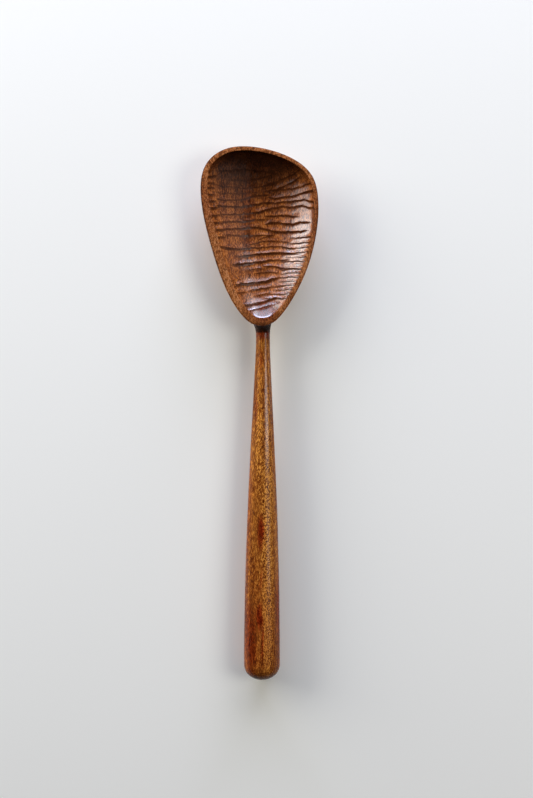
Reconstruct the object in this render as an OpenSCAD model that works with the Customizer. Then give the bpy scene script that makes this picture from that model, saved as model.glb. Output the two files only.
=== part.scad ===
// Hand-carved wooden cooking spoon: an egg-shaped bowl and a round tapered handle.
// The real spoon is carved from one billet. The two nodes meet face to face across the neck.
// +Y runs from the handle to the bowl's tip, +Z is up, and the spoon rests on z = 0.

/* [Overall] */
// Length from the bowl's tip to the end of the handle
spoon_l = 300; // [240:1:360]

/* [Bowl] */
// Width across the outside of the rim
bowl_w = 66; // [54:0.5:80]
// Length of the rim from the neck to the tip
bowl_l = 100.5; // [84:0.5:120]
// Height of the flat rim above the table
bowl_h = 18; // [16:0.5:24]
// Thickness of the wood under the deepest point of the hollow
floor_t = 5.8; // [3:0.2:9]
// Width of the flat rim at its narrowest, beside the tip
rim_w = 2.4; // [1.5:0.1:4]
// How far the round underside would pass below the table if it weren't flattened
flat_cut = 0.6; // [0.2:0.1:1.5]

/* [Neck] */
// Diameter of the neck where it runs straight
neck_d = 7.9; // [6:0.1:10]
// Length of the straight neck, from the bowl's rim
neck_l = 12; // [10:0.5:30]
// Drop from the rim to the top of the neck
neck_drop = 3.3; // [2:0.1:6]
// Distance from the rim to the cross-cut where the bowl hands over to the handle
seam_l = 7; // [5:0.5:9]

/* [Handle] */
// Largest diameter, near the end of the handle
butt_d = 20.4; // [16:0.2:26]
// Length of the rounded end
butt_l = 9.5; // [6:0.5:14]
// How far the handle's underside is flattened where it meets the table
butt_cut = 0.1; // [0.05:0.05:0.4]
// Part of the taper that follows a quarter wave, the rest being straight
belly_share = 1; // [0:0.05:1]

/* [Shape of the bowl] */
// Roundness of the hollow's floor at the neck and at the tip, where more is a wider floor
hollow_floor = [2.2, 2.4]; // [1.2:0.1:3]
// What is added to that roundness at the far left and at the far right
hollow_floor_sides = [0, -0.7]; // [-0.8:0.1:0.6]
// Steepness of the hollow's wall under the rim at the neck and at the tip
hollow_steep = [1.2, 2.15]; // [1:0.05:3]
// What is added to that steepness at the far left and at the far right
hollow_steep_sides = [-0.95, -0.7]; // [-1:0.05:0.6]
// Roundness of the underside at the neck and at the tip
under_floor = [1.9, 2.4]; // [1.2:0.1:3]
// What is added to that roundness at the far left and at the far right
under_floor_sides = [0, -0.3]; // [-0.8:0.1:0.6]
// Steepness of the outer wall under the rim at the neck and at the tip
under_steep = [1.3, 2.2]; // [1:0.05:3]
// What is added to that steepness at the far left and at the far right
under_steep_sides = [-0.3, -0.4]; // [-1:0.05:0.6]
// Place of the deepest point of the hollow, as shares of the bowl's width and length
deepest_share = [-0.01, 0.72]; // [-0.1:0.01:0.8]
// Place of the lowest point of the underside, as shares of the bowl's width and length
lowest_share = [-0.02, 0.64]; // [-0.1:0.01:0.8]

/* [Hidden] */
wood = [0.62, 0.39, 0.19];

// The rim's outer edge, anticlockwise from the neck. Each point is its place across as a share
// of the bowl's width, its place along as a share of the bowl's length, and the flat rim's
// width there as a share of its narrowest width
rim_shares = [
    [0, 0, 1.62],
    [0.100, 0.024, 1.42],
    [0.195, 0.094, 1.21],
    [0.288, 0.194, 1.12],
    [0.370, 0.313, 1.12],
    [0.429, 0.444, 1.12],
    [0.462, 0.576, 1.08],
    [0.465, 0.707, 1.08],
    [0.419, 0.830, 1.04],
    [0.281, 0.919, 1],
    [0.085, 0.974, 1],
    [-0.130, 0.999, 1.04],
    [-0.336, 0.981, 1.17],
    [-0.488, 0.898, 1.33],
    [-0.533, 0.765, 1.58],
    [-0.505, 0.605, 1.79],
    [-0.444, 0.446, 2],
    [-0.368, 0.290, 1.92],
    [-0.267, 0.142, 1.75],
    [-0.127, 0.025, 1.65]
];

// Points round the rim, and rings in the outer wall, in the fillet at the neck and in the hollow
rim_n = 80;
wall_n = 13;
fillet_n = 6;
hollow_n = 11;
// How many passes pull the curve through its points
passes = 14;
// The neck grows out of a round patch of the outer wall. In a flat disc that stands for the
// wall, with its edge the rim and its centre the lowest point, this is the patch's centre,
// towards the neck, and its radius
patch_share = 0.74;
patch_size_share = 0.24;
// Where the fillet has become the straight neck, as a share of the way to the seam
fillet_share = 0.6;
// How far back from the patch's edge the wall's direction is taken, as a share of the wall
look_back_share = 0.02;
// Pull of the fillet along the wall and along the neck, as shares of the way it spans
wall_pull_share = 0.3;
neck_pull_share = 1.1;
// Points round the handle, and steps along its taper and its rounded end
round_n = 96;
taper_n = 24;
butt_n = 14;
// Roundness of the handle's end, where 2 is an ellipse
butt_power = 2.4;

// Control points of a smooth closed curve that passes through the given points
function pulled(given, held, left) =
    left == 0 ? held :
    let (n = len(given))
    pulled(
        given,
        [for (i = [0 : n - 1]) (6 * given[i] - held[(i + n - 1) % n] - held[(i + 1) % n]) / 4],
        left - 1
    );

// One point of the closed cubic spline, where u goes once round the curve from 0 to 1
function spline_at(held, u) =
    let (
        n = len(held),
        i = floor(u * n),
        t = u * n - i,
        a = held[(i + n - 1) % n],
        b = held[i % n],
        c = held[(i + 1) % n],
        d = held[(i + 2) % n]
    )
    (pow(1 - t, 3) * a + (3 * pow(t, 3) - 6 * t * t + 4) * b
        + (3 * t * t + 3 * t - 3 * pow(t, 3) + 1) * c + pow(t, 3) * d) / 6;

// The rim's outer edge in millimetres, with the rim's width there as a third value
rim_curve = pulled(rim_shares, rim_shares, passes);
every = [0 : rim_n - 1];
rim_outer = [
    for (i = every)
        let (p = spline_at(rim_curve, i / rim_n))
        [p[0] * bowl_w, p[1] * bowl_l, p[2] * rim_w]
];

// The point one rim width inside the outer edge, square to the edge
function inside(i) =
    let (
        ahead = rim_outer[(i + 1) % rim_n],
        behind = rim_outer[(i + rim_n - 1) % rim_n],
        run = [ahead[0] - behind[0], ahead[1] - behind[1]],
        across = [-run[1], run[0]] / norm(run)
    )
    [rim_outer[i][0], rim_outer[i][1]] + across * rim_outer[i][2];
rim_inner = [for (i = every) inside(i)];

deepest = [deepest_share[0] * bowl_w, deepest_share[1] * bowl_l];
lowest = [lowest_share[0] * bowl_w, lowest_share[1] * bowl_l];
under_d = bowl_h + flat_cut;
hollow_d = bowl_h - floor_t;

// Each wall's roundness, what the sides add to it, its steepness, and what the sides add to that
hollow_wall = [hollow_floor, hollow_floor_sides, hollow_steep, hollow_steep_sides];
under_wall = [under_floor, under_floor_sides, under_steep, under_steep_sides];

// A power that changes evenly from the neck to the tip, and faster and faster from the middle to
// the far left and the far right
function power_at(p, ends, sides) =
    let (
        forth = p[1] / bowl_l,
        aside = 2 * p[0] / bowl_w,
        side = aside < 0 ? sides[0] : sides[1]
    )
    max(1, ends[0] + (ends[1] - ends[0]) * forth + side * aside * aside);

// A point of a round wall on the line from a rim point to the centre: turn is 0 at the rim and
// 90 at the centre
function wall_at(p, centre, wall, depth, turn) =
    let (
        reach = cos(turn),
        roundness = power_at(p, wall[0], wall[1]),
        steepness = power_at(p, wall[2], wall[3]),
        drop = pow(1 - pow(reach, roundness), 1 / steepness)
    )
    [
        centre[0] + (p[0] - centre[0]) * reach,
        centre[1] + (p[1] - centre[1]) * reach,
        bowl_h - depth * drop
    ];

// One ring of the hollow
function hollow_ring(turn) =
    [for (p = rim_inner) wall_at(p, deepest, hollow_wall, hollow_d, turn)];

// The outer wall's point for a place in the flat disc, whose first axis points at the neck
function under_at(w) =
    let (
        u = (atan2(w[1], w[0]) + 360) % 360 / 360,
        s = spline_at(rim_curve, u),
        p = [s[0] * bowl_w, s[1] * bowl_l]
    )
    wall_at(p, lowest, under_wall, under_d, 90 * (1 - min(norm(w), 1)));

// A place in the flat disc on the line from the rim, where t is 0, to the patch, where t is 1
function disc_at(i, t) =
    let (a = 360 * i / rim_n)
    (1 - t * (1 - patch_size_share)) * [cos(a), sin(a)] + t * [patch_share, 0];

// The handle's axis drops from the neck to the butt, whose underside touches the table
neck_r = neck_d / 2;
butt_r = butt_d / 2;
handle_l = spoon_l - bowl_l;
axis_z = bowl_h - neck_drop - neck_r;
belly_y = handle_l - butt_l;
tilt = atan((axis_z - butt_r + butt_cut) / belly_y);

// A point on the neck, round from its top and a distance along its axis from the rim
function neck_at(i, run) =
    let (a = 360 * i / rim_n)
    [
        neck_r * sin(a),
        -run * cos(tilt) - neck_r * cos(a) * sin(tilt),
        axis_z - run * sin(tilt) + neck_r * cos(a) * cos(tilt)
    ];

// A smooth step between the patch's edge, where t is 0, and the straight neck, where t is 1
function fillet_at(i, t) =
    let (
        from = under_at(disc_at(i, 1)),
        behind = under_at(disc_at(i, 1 - look_back_share)),
        to = neck_at(i, fillet_share * seam_l),
        span = norm(to - from),
        leave = (from - behind) / norm(from - behind) * span * wall_pull_share,
        arrive = [0, -cos(tilt), -sin(tilt)] * span * neck_pull_share
    )
    (2 * pow(t, 3) - 3 * t * t + 1) * from + (pow(t, 3) - 2 * t * t + t) * leave
        + (3 * t * t - 2 * pow(t, 3)) * to + (pow(t, 3) - t * t) * arrive;

// The shell's rings: the seam across the neck, the fillet, the outer wall up to the rim, the
// rim's outer edge, then its inner edge and the hollow
shell_rings = concat(
    [[for (i = every) neck_at(i, seam_l)]],
    [for (k = [fillet_n : -1 : 1]) [for (i = every) fillet_at(i, k / fillet_n)]],
    [for (k = [wall_n : -1 : 1]) [for (i = every) under_at(disc_at(i, k / wall_n))]],
    [[for (p = rim_outer) [p[0], p[1], bowl_h]]],
    [for (k = [0 : hollow_n - 1]) hollow_ring(90 * k / hollow_n)]
);
shell_points = concat(
    [[0, -seam_l * cos(tilt), axis_z - seam_l * sin(tilt)]],
    [for (one = shell_rings) each one],
    [[deepest[0], deepest[1], bowl_h - hollow_d]]
);
last_ring = len(shell_rings) - 1;
last_point = len(shell_points) - 1;

// The number of a shell point: its ring, and its place round the ring
function at(k, i) = 1 + k * rim_n + i % rim_n;
shell_faces = concat(
    [for (i = every) [0, at(0, i), at(0, i + 1)]],
    [for (k = [0 : last_ring - 1], i = every) [at(k, i), at(k + 1, i), at(k + 1, i + 1)]],
    [for (k = [0 : last_ring - 1], i = every) [at(k, i), at(k + 1, i + 1), at(k, i + 1)]],
    [for (i = every) [at(last_ring, i), last_point, at(last_ring, i + 1)]]
);

// The handle's radius at a distance from the rim
function taper_r(y) =
    let (t = max(0, (y - neck_l) / (belly_y - neck_l)))
    neck_r + (butt_r - neck_r) * (belly_share * sin(90 * t) + (1 - belly_share) * t);

// The origin is under the middle of the whole spoon's box
rim_x = [for (p = rim_outer) p[0]];
rim_y = [for (p = rim_outer) p[1]];
middle = [(min(rim_x) + max(rim_x)) / 2, (max(rim_y) - handle_l) / 2, 0];

// Takes away whatever would lie below the table
module above_table() {
    difference() {
        children();
        translate([-spoon_l, -spoon_l, -spoon_l])
            cube([2 * spoon_l, 2 * spoon_l, spoon_l]);
    }
}

module bowl() {
    color(wood)
        translate(-middle)
            above_table()
                polyhedron(points = shell_points, faces = shell_faces, convexity = 6);
}

module handle() {
    profile = concat(
        [[0, seam_l], [neck_r, seam_l]],
        [
            for (k = [0 : taper_n])
                let (y = neck_l + (belly_y - neck_l) * k / taper_n)
                [taper_r(y), y]
        ],
        [
            for (k = [1 : butt_n - 1])
                let (turn = 90 * k / butt_n)
                [butt_r * cos(turn), belly_y + butt_l * pow(sin(turn), 2 / butt_power)]
        ],
        [[0, handle_l]]
    );
    color(wood)
        translate(-middle)
            above_table()
                translate([0, 0, axis_z])
                    rotate([90 + tilt, 0, 0])
                        rotate_extrude($fn = round_n)
                            polygon(profile);
}

bowl();
handle();
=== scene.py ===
"""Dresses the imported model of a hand-carved wooden cooking spoon and sets it on a pale floor.

The spoon is one billet of oiled hardwood: an egg-shaped bowl that was hollowed with a gouge,
a flat sawn rim, a slim neck and a round tapered handle. Shapes are worked out in millimetres in
the spoon's own plan, where x counts from the handle's axis, y from the neck end of the rim
towards the tip, and z from the table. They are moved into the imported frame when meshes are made.
"""

import logging
import math
from dataclasses import dataclass, field, replace
from enum import Enum

import bpy
import numpy as np
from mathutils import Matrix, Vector


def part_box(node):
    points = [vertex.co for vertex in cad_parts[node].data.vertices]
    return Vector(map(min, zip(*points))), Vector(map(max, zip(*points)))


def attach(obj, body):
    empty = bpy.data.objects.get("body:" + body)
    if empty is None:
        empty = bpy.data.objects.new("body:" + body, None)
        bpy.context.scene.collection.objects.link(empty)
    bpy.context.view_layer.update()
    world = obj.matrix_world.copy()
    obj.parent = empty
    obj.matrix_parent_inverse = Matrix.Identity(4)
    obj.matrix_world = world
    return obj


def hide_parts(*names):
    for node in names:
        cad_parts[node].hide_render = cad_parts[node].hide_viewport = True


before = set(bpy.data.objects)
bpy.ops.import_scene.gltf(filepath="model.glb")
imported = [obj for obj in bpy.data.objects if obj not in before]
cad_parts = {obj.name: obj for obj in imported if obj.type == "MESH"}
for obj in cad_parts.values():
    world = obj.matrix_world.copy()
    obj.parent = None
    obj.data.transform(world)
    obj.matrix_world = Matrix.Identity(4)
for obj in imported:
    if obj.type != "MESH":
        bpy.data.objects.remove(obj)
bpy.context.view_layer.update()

LOG = logging.getLogger("spoon")
MM = 0.001
TINY = 1e-9

Colour = tuple[float, float, float]
Point = tuple[float, float, float]
Pair = tuple[float, float]
Socket = bpy.types.NodeSocket


class Slot(Enum):
    """Names for the two material slots."""

    BOWL = "bowl_wood"
    HANDLE = "handle_wood"


class Zone(Enum):
    """The differently finished zones of the bowl, in the order of its materials."""

    OUTSIDE = 0
    RIM = 1
    HOLLOW = 2


def eased(low: float, high: float, value: np.ndarray) -> np.ndarray:
    """A smooth step.

    Args:
        low: Where the step starts, at 0.
        high: Where the step ends, at 1. It may lie below low.
        value: The places to read it at.

    Returns:
        The step's height at each place, from 0 to 1.
    """
    t = np.clip((value - low) / (high - low), 0.0, 1.0)
    return t * t * (3.0 - 2.0 * t)


def swept(
    t: np.ndarray | float, start: np.ndarray, leave: np.ndarray, end: np.ndarray, arrive: np.ndarray
) -> np.ndarray:
    """A smooth curve between two places.

    Args:
        t: Places along the curve, from 0 to 1.
        start: Where it starts.
        leave: The way and pace that it leaves with.
        end: Where it ends.
        arrive: The way and pace that it arrives with.

    Returns:
        The curve's places.
    """
    square, cube = t**2, t**3
    return (
        (2.0 * cube - 3.0 * square + 1.0) * start
        + (cube - 2.0 * square + t) * leave
        + (3.0 * square - 2.0 * cube) * end
        + (cube - square) * arrive
    )


@dataclass(frozen=True)
class Ripple:
    """A gentle irregular swell over a plane, as a hand-held blade leaves it."""

    seed: int
    length: float
    waves: int = 7
    height: float = 1.0
    squeeze: float = 1.0
    pitches: Pair = (0.6, 1.7)
    calm: float = 1.5

    def at(self, x: np.ndarray, y: np.ndarray) -> np.ndarray:
        """The swell's height.

        Args:
            x: Places along the first direction, in millimetres.
            y: Places along the second direction, in millimetres.

        Returns:
            Heights from about minus its own height to plus that.
        """
        dice = np.random.default_rng(self.seed)
        total = np.zeros(np.broadcast(x, y).shape)
        for _ in range(self.waves):
            heading, phase = dice.uniform(0.0, math.tau, 2)
            pitch = self.length * dice.uniform(*self.pitches)
            run = x * math.cos(heading) + self.squeeze * y * math.sin(heading)
            total += np.sin(math.tau * run / pitch + phase)
        return self.height * (total / math.sqrt(self.waves) / self.calm)

    def share(self, x: np.ndarray, y: np.ndarray) -> np.ndarray:
        """The swell as shares from 0 to 1."""
        return np.clip(0.5 + 0.5 * self.at(x, y), 0.0, 1.0)


@dataclass
class RimCurve:
    """The rim's outer edge as one smooth closed curve, with the flat rim's width along it.

    The places are read along the edge, anticlockwise from the neck: across as a share of the
    bowl's width, along as a share of its length, and the rim's width as a share of its
    narrowest width.
    """

    width: float
    length: float
    narrowest: float
    places: tuple[Point, ...] = (
        (0.0, 0.0, 1.62),
        (0.100, 0.024, 1.42),
        (0.195, 0.094, 1.21),
        (0.288, 0.194, 1.12),
        (0.370, 0.313, 1.12),
        (0.429, 0.444, 1.12),
        (0.462, 0.576, 1.08),
        (0.465, 0.707, 1.08),
        (0.419, 0.830, 1.04),
        (0.281, 0.919, 1.0),
        (0.085, 0.974, 1.0),
        (-0.130, 0.999, 1.04),
        (-0.336, 0.981, 1.17),
        (-0.488, 0.898, 1.33),
        (-0.533, 0.765, 1.58),
        (-0.505, 0.605, 1.79),
        (-0.444, 0.446, 2.0),
        (-0.368, 0.290, 1.92),
        (-0.267, 0.142, 1.75),
        (-0.127, 0.025, 1.65),
    )
    passes: int = 14

    def __post_init__(self) -> None:
        """Works out the control points of a curve that passes through the places."""
        given = np.array(self.places) * [self.width, self.length, self.narrowest]
        held = given.copy()
        for _ in range(self.passes):
            held = (6.0 * given - np.roll(held, 1, 0) - np.roll(held, -1, 0)) / 4.0
        self.controls = held

    def at(self, turns: np.ndarray) -> np.ndarray:
        """Points of the curve, a cubic spline.

        Args:
            turns: Places round the curve, where 1 is once round from the neck.

        Returns:
            One row for each place: x, y and the rim's width.
        """
        count = len(self.controls)
        run = np.mod(turns, 1.0) * count
        index = np.floor(run).astype(int)
        t = (run - index)[..., None]
        before, here, after, beyond = (self.controls[(index + k) % count] for k in range(-1, 3))
        return (
            (1.0 - t) ** 3 * before
            + (3.0 * t**3 - 6.0 * t**2 + 4.0) * here
            + (-3.0 * t**3 + 3.0 * t**2 + 3.0 * t + 1.0) * after
            + t**3 * beyond
        ) / 6.0


@dataclass(frozen=True)
class WallShape:
    """How a round wall of the bowl falls from the rim to its lowest point.

    The floor's roundness and the steepness under the rim each have a value at the neck and one
    at the tip, and a value that is added at the far left and one at the far right.
    """

    floor: Pair
    floor_sides: Pair
    steep: Pair
    steep_sides: Pair


@dataclass
class SpoonForm:
    """The driving sizes of the spoon in millimetres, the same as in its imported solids."""

    bowl_w: float = 66.0
    bowl_l: float = 100.5
    floor_t: float = 5.8
    rim_w: float = 2.4
    flat_cut: float = 0.6
    neck_d: float = 7.9
    neck_l: float = 12.0
    neck_drop: float = 3.3
    seam_l: float = 7.0
    seam_ring: float = 0.04
    butt_d: float = 20.4
    butt_l: float = 9.5
    butt_cut: float = 0.1
    spoon_l: float = 300.0
    hollow: WallShape = WallShape((2.2, 2.4), (0.0, -0.7), (1.2, 2.15), (-0.95, -0.7))
    under: WallShape = WallShape((1.9, 2.4), (0.0, -0.3), (1.3, 2.2), (-0.3, -0.4))
    deepest_share: Pair = (-0.01, 0.72)
    lowest_share: Pair = (-0.02, 0.64)
    rim_samples: int = 720

    def __post_init__(self) -> None:
        """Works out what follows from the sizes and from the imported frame."""
        low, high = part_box("bowl")
        self.rim_z = high[2] / MM
        self.rim = RimCurve(self.bowl_w, self.bowl_l, self.rim_w)
        edge = self.rim.at(np.linspace(0.0, 1.0, self.rim_samples, endpoint=False))
        middle_x = (edge[:, 0].min() + edge[:, 0].max()) / 2.0
        home_x = (low[0] + high[0]) / 2.0 / MM - middle_x
        self.home = np.array([home_x, high[1] / MM - edge[:, 1].max(), 0.0])
        self.deepest = np.array(self.deepest_share) * [self.bowl_w, self.bowl_l]
        self.lowest = np.array(self.lowest_share) * [self.bowl_w, self.bowl_l]
        self.hollow_d = self.rim_z - self.floor_t
        self.under_d = self.rim_z + self.flat_cut
        self.neck_r = self.neck_d / 2.0
        self.butt_r = self.butt_d / 2.0
        self.handle_l = self.spoon_l - self.bowl_l
        self.axis_z = self.rim_z - self.neck_drop - self.neck_r
        self.belly_y = self.handle_l - self.butt_l
        self.tilt = math.atan((self.axis_z - self.butt_r + self.butt_cut) / self.belly_y)

    def along(self, pair: Pair, y: np.ndarray) -> np.ndarray:
        """A value that changes evenly from the neck to the tip."""
        return pair[0] + (pair[1] - pair[0]) * y / self.bowl_l

    def wall(
        self,
        edge: np.ndarray,
        centre: np.ndarray,
        shape: WallShape,
        depth: float,
        turn: np.ndarray,
    ) -> np.ndarray:
        """Points of a round wall between the rim and its lowest point.

        Args:
            edge: Points of the rim, x and y.
            centre: The lowest point's place, x and y.
            shape: How the wall falls.
            depth: How far the wall goes down.
            turn: 0 at the rim to a quarter turn at the lowest point, in radians.

        Returns:
            Points x, y, z.
        """
        side = edge[..., 0] / (self.bowl_w / 2.0)
        left, right = np.maximum(-side, 0.0) ** 2, np.maximum(side, 0.0) ** 2
        floor, steep = (
            np.maximum(self.along(ends, edge[..., 1]) + left * sides[0] + right * sides[1], 1.0)
            for ends, sides in ((shape.floor, shape.floor_sides), (shape.steep, shape.steep_sides))
        )
        reach = np.cos(turn)
        drop = np.maximum(1.0 - reach**floor, 0.0) ** (1.0 / steep)
        plan = centre + (edge[..., :2] - centre) * reach[..., None]
        return np.concatenate([plan, (self.rim_z - depth * drop)[..., None]], axis=-1)

    def on_neck(
        self, angle: np.ndarray, run: np.ndarray | float, radius: np.ndarray | float
    ) -> np.ndarray:
        """Points round the handle's axis.

        Args:
            angle: Turn from the top towards +X, in radians.
            run: Distance along the axis from the rim.
            radius: Distance from the axis.

        Returns:
            Points x, y, z.
        """
        slope_y, slope_z = math.cos(self.tilt), math.sin(self.tilt)
        rise = radius * np.cos(angle)
        across = radius * np.sin(angle)
        along = -run * slope_y - rise * slope_z
        up = self.axis_z - run * slope_z + rise * slope_y
        return np.stack(np.broadcast_arrays(across, along, up), axis=-1)


@dataclass(frozen=True)
class Ridge:
    """The raised line where two gouge cuts meet, drawn over the smooth hollow.

    The cut on the tip's side rises to it more and more steeply. On the neck's side the wood
    drops away at once into the next cut.
    """

    height: float
    places: tuple[Pair, ...]
    rise: float = 4.6
    sharpness: float = 2.2
    drop: float = 0.8
    groove: float = 0.35
    groove_length: float = 3.6
    fade: float = 2.4

    def line(self, x: np.ndarray) -> np.ndarray:
        """Where the ridge runs.

        Args:
            x: Places across the bowl.

        Returns:
            The ridge's places along the bowl.
        """
        across, along = np.array(self.places).T
        slope = np.gradient(along, across)
        index = np.clip(np.searchsorted(across, x) - 1, 0, len(across) - 2)
        gap = across[index + 1] - across[index]
        t = np.clip((x - across[index]) / gap, 0.0, 1.0)
        return swept(t, along[index], gap * slope[index], along[index + 1], gap * slope[index + 1])

    def moved(self, place: Pair) -> "Ridge":
        """The same ridge with its places counted from another place."""
        return replace(self, places=tuple((place[0] + x, place[1] + y) for x, y in self.places))

    def at(self, x: np.ndarray, y: np.ndarray) -> np.ndarray:
        """The height of the wood that this ridge adds or takes away.

        Args:
            x: Places across the bowl.
            y: Places along the bowl.

        Returns:
            Heights in millimetres.
        """
        first, last = self.places[0][0], self.places[-1][0]
        ends = eased(first - self.fade, first + self.fade, x)
        ends = ends * eased(last + self.fade, last - self.fade, x)
        away = y - self.line(x)
        tip_side = np.clip(1.0 - away / self.rise, 0.0, 1.0) ** self.sharpness
        neck_side = 1.0 - (1.0 + self.groove) * (1.0 - np.exp(np.minimum(away, 0.0) / self.drop))
        neck_side += self.groove * eased(self.drop, self.drop + self.groove_length, -away)
        return self.height * ends * np.where(away > 0.0, tip_side, neck_side)


@dataclass
class ToolMarks:
    """All the marks left in the hollow, from the tip to the neck.

    Long ridges cross it, short nicks lie along the right rim and dimples along the left rim.
    The long ridges are fainter in the upper left.
    """

    long_ridges: tuple[Ridge, ...] = (
        Ridge(0.25, ((-25.2, 87.5), (-15.6, 89.2), (-4.3, 89.2), (6.9, 87.5)), rise=3.4),
        Ridge(0.22, ((-22.0, 83.5), (-13.0, 83.6), (-4.0, 84.5), (4.0, 86.5))),
        Ridge(0.28, ((-0.4, 80.7), (5.2, 82.4), (12.0, 84.6), (18.7, 87.2)), rise=3.4),
        Ridge(0.28, ((8.6, 79.4), (15.4, 81.8), (21.0, 84.6)), rise=3.4),
        Ridge(0.22, ((-28.0, 79.9), (-21.4, 79.6), (-12.9, 79.3), (-6.0, 79.6), (-0.5, 80.5), (3.0, 81.0),
                     (8.5, 82.5))),
        Ridge(0.22, ((-28.0, 75.6), (-19.7, 75.8), (-11.8, 76.3), (-3.8, 77.0), (7.5, 78.5), (12.0, 80.0))),
        Ridge(0.35, ((5.5, 78.5), (12.5, 78.5), (19.5, 79.0))),
        Ridge(0.30, ((21.0, 79.0), (23.5, 80.0), (29.0, 80.5))),
        Ridge(0.45, ((3.0, 74.0), (7.5, 73.5), (12.5, 74.0), (17.0, 74.5), (21.0, 75.5), (30.0, 76.5))),
        Ridge(0.35, ((-27.5, 71.6), (-20.0, 71.9), (-15.0, 72.5), (-9.5, 73.5), (-5.0, 75.0), (-0.5, 75.5),
                     (3.5, 75.0))),
        Ridge(0.50, ((-27.5, 67.9), (-19.7, 68.2), (-11.0, 69.0), (-6.0, 70.0), (-0.5, 71.0), (7.0, 71.0),
                     (14.5, 71.2), (19.0, 71.7), (22.5, 71.7), (25.5, 71.0), (31.0, 68.5))),
        Ridge(0.45, ((-4.0, 65.5), (1.5, 67.0), (4.5, 68.0), (11.5, 68.5), (15.5, 68.0), (19.5, 68.5),
                     (22.5, 68.7))),
        Ridge(0.35, ((22.0, 68.5), (24.5, 67.5), (31.0, 66.5))),
        Ridge(0.30, ((-27.5, 63.5), (-17.5, 63.8), (-11.0, 64.5), (-4.5, 65.5), (-0.5, 66.0))),
        Ridge(0.40, ((0.0, 63.5), (5.5, 63.5), (11.5, 63.7), (15.5, 63.2), (20.0, 62.0))),
        Ridge(0.42, ((-27.0, 59.2), (-18.5, 59.6), (-9.0, 60.5), (-4.0, 61.5), (2.0, 61.5))),
        Ridge(0.60, ((1.5, 58.7), (4.0, 59.5), (8.5, 59.5), (14.0, 58.7), (18.0, 58.6), (22.0, 59.2),
                     (25.5, 58.5))),
        Ridge(0.50, ((-27.0, 54.5), (-18.5, 55.5), (-10.0, 56.5), (-4.0, 57.0), (-0.5, 56.5), (3.0, 55.4),
                     (7.0, 54.5), (12.5, 54.0), (18.0, 54.0), (24.5, 54.2))),
        Ridge(0.35, ((-26.0, 51.0), (-17.5, 52.0), (-7.0, 52.2), (1.5, 52.5), (6.0, 52.0))),
        Ridge(0.30, ((-3.5, 49.3), (0.0, 51.0), (4.0, 52.0))),
        Ridge(0.35, ((-9.5, 46.0), (-4.0, 48.0), (0.5, 49.0), (7.0, 49.0), (14.5, 48.0))),
        Ridge(0.40, ((-24.0, 44.6), (-17.0, 44.0), (-11.5, 44.2), (-6.0, 45.3), (-0.5, 45.5), (5.5, 46.0),
                     (11.5, 45.5), (17.0, 44.0))),
        Ridge(0.55, ((-14.0, 39.5), (-7.0, 41.0), (-1.5, 41.8), (5.5, 42.2), (12.5, 42.0), (19.5, 40.7))),
        Ridge(0.60, ((-16.5, 35.0), (-10.0, 36.0), (-4.0, 36.7), (0.5, 37.5), (4.5, 38.5))),
        Ridge(0.30, ((3.5, 38.0), (10.0, 38.0), (21.0, 37.5)), rise=3.4),
        Ridge(0.45, ((0.5, 34.5), (5.0, 34.5), (10.0, 33.6), (15.5, 33.1), (20.5, 33.0)), rise=3.4),
        Ridge(0.20, ((-8.5, 32.3), (-2.5, 33.0), (2.5, 33.2))),
        Ridge(0.30, ((-4.0, 30.5), (2.0, 31.0), (8.5, 30.6))),
        Ridge(0.65, ((-15.0, 23.5), (-8.5, 24.5), (-2.5, 25.4), (3.0, 26.4), (8.0, 27.7))),
        Ridge(0.25, ((-7.0, 20.3), (-0.5, 21.8), (4.0, 22.4), (11.0, 22.6))),
        Ridge(0.20, ((-4.0, 17.3), (2.0, 18.8), (8.0, 19.6))),
        Ridge(0.35, ((-14.0, 11.0), (-7.0, 12.4), (-1.5, 13.6), (3.0, 14.9), (8.0, 16.7))),
        Ridge(0.15, ((-9.0, 8.5), (-4.0, 9.6), (0.5, 11.2), (7.0, 12.2)), rise=2.2),
        Ridge(0.15, ((-22.0, 25.0), (-17.0, 25.6), (-12.0, 26.4))),
        Ridge(0.15, ((-19.5, 21.5), (-13.5, 22.6))),
        Ridge(0.15, ((-17.0, 18.0), (-10.0, 19.4))),
    )
    right_nick: Ridge = Ridge(0.36, ((-9.0, 0.4), (-2.0, 0.4), (5.0, 0.0)), 2.2, drop=0.5, fade=4.0)
    nick_places: tuple[Pair, ...] = (
        (26.0, 50.0), (25.5, 46.7), (24.5, 44.0), (24.0, 41.4), (23.0, 38.8), (22.5, 36.4), (22.0, 34.2),
        (21.0, 32.0), (20.5, 29.8), (19.0, 27.4), (18.0, 25.0), (17.0, 22.8), (15.5, 20.3), (14.0, 17.9),
        (12.0, 15.5),
    )
    left_dimple: Ridge = Ridge(0.46, ((-2.6, -0.3), (2.6, 0.5)), 2.6, drop=1.3, fade=1.6)
    dimple_places: tuple[Pair, ...] = (
        (-29.5, 84.3), (-30.0, 80.4), (-30.2, 77.6), (-30.0, 73.7), (-29.5, 70.0), (-28.5, 66.4),
        (-27.5, 62.2), (-26.0, 58.0), (-25.5, 53.8), (-24.5, 49.9),
    )
    faint: float = 0.35
    faint_across: Pair = (0.0, -14.0)
    faint_along: Pair = (42.0, 52.0)
    shaking: Ripple = Ripple(61, 6.0, height=0.25, squeeze=0.5)
    tearing: Ripple = Ripple(73, 1.15, 11, height=0.24, squeeze=0.1)
    pressing: Ripple = Ripple(67, 8.0, height=0.3)
    swelling: Ripple = Ripple(5, 24.0, height=0.05)
    ground: float = -0.12

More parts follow.
